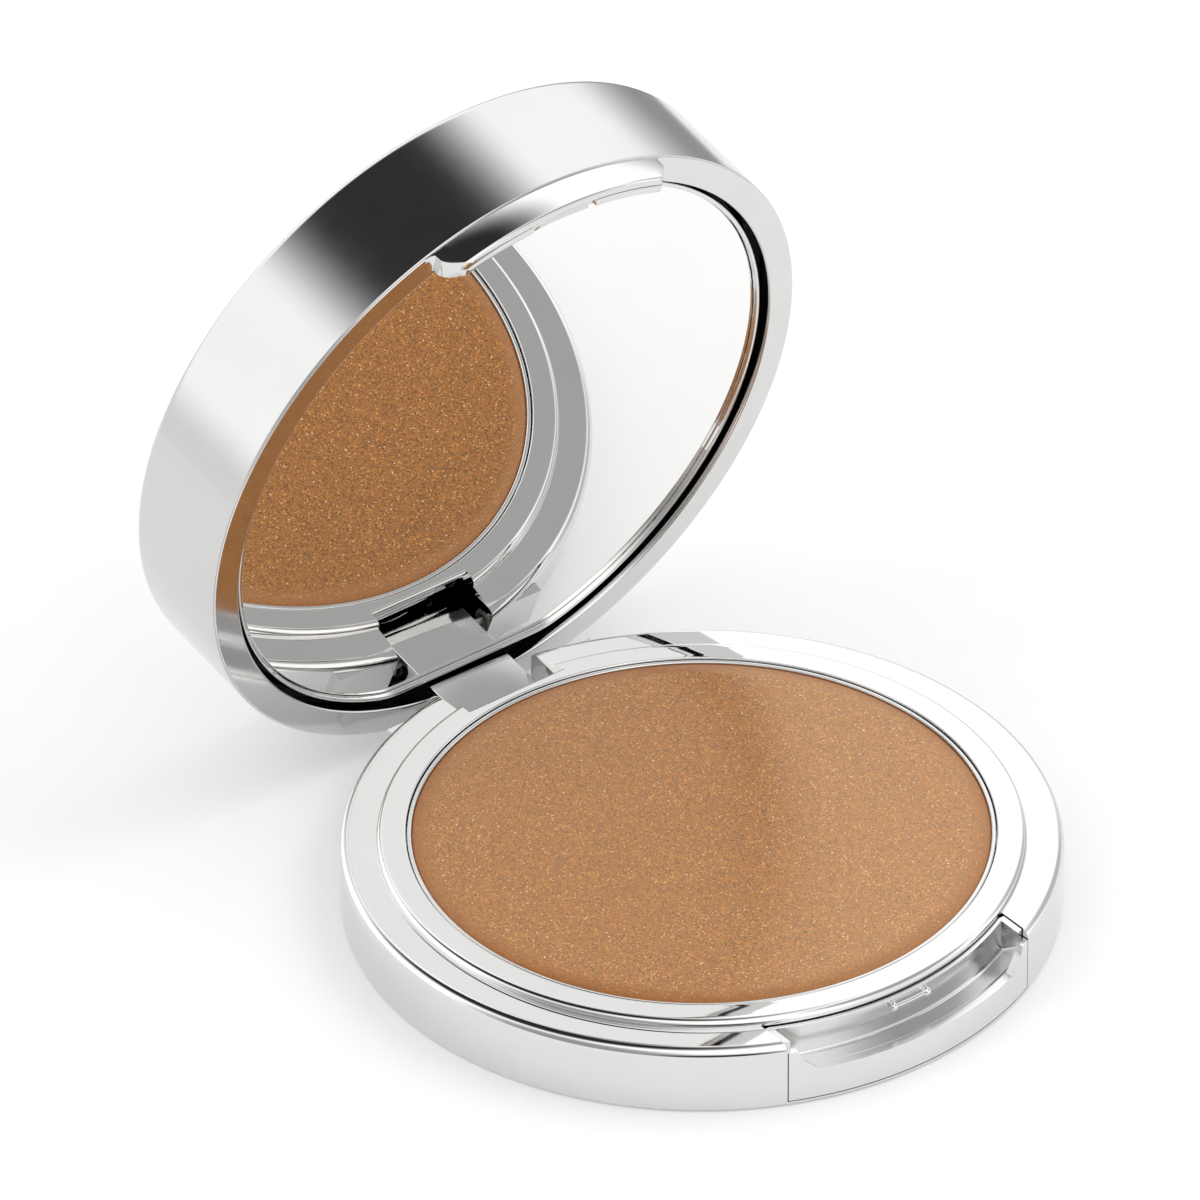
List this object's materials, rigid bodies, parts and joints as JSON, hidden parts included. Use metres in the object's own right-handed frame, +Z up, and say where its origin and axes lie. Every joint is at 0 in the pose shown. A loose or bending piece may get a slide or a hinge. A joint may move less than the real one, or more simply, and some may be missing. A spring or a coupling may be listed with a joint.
{
  "type": "powder compact",
  "caption": "Round bright-metal makeup compact, shown open: a pressed-powder pan in a low base, a deep mirrored lid on a rear hinge, and a push-button latch in a front thumb notch.",
  "frame": {"origin": "centre of the base's flat underside", "axes": "+Z up, out of the powder; -Y towards the front thumb notch and its button; +Y towards the hinge; X along the hinge pin"},
  "size_m": [0.073, 0.0885, 0.0756],
  "materials": {
    "bright_base": "bright chrome plating, mirror polished",
    "bright_deck": "bright chrome plating, mirror polished",
    "bright_button": "bright chrome plating, mirror polished",
    "bright_frame": "bright chrome plating, mirror polished",
    "satin_lid": "satin anodised, finely brushed",
    "pan_metal": "bright rolled",
    "pressed_powder": "pressed powder, fine satin grain with small shimmer flecks",
    "mirror_glass": "silvered back, polished",
    "spring_steel": "bare",
    "weight_steel": "bare",
    "core_black": "moulded, matte",
    "sleeve_nylon": "natural nylon",
    "adhesive": "clear film",
    "label_paper": "matt coated, blank"
  },
  "bodies": {
    "base": {"base_shell": "bright_base", "pan_deck": "bright_deck", "pan": "pan_metal", "powder": "pressed_powder", "pan_film": "adhesive", "weight_plate": "weight_steel", "weight_film": "adhesive", "bottom_label": "label_paper", "hinge_pin": "spring_steel", "button_spring": "spring_steel"},
    "lid": {"lid_shell": "satin_lid", "lid_frame": "bright_frame", "lid_core": "core_black", "core_glue": "adhesive", "mirror_tray": "bright_frame", "mirror": "mirror_glass", "mirror_film": "adhesive", "friction_sleeve": "sleeve_nylon"},
    "button": {"push_button": "bright_button"}
  },
  "joints": [
    {"name": "lid_hinge", "type": "hinge", "parent": "base", "child": "lid", "pos_m": [0, 0.0341, 0.003], "axis": [-1, 0, 0], "range_deg": [-78.4, 0]},
    {"name": "button_push", "type": "slide", "parent": "base", "child": "button", "axis": [0, 1, 0], "range_m": [0, 0.0008], "stiffness_N_per_m": 1500, "springref_m": -0.0004, "deforming": ["button_spring"]}
  ]
}
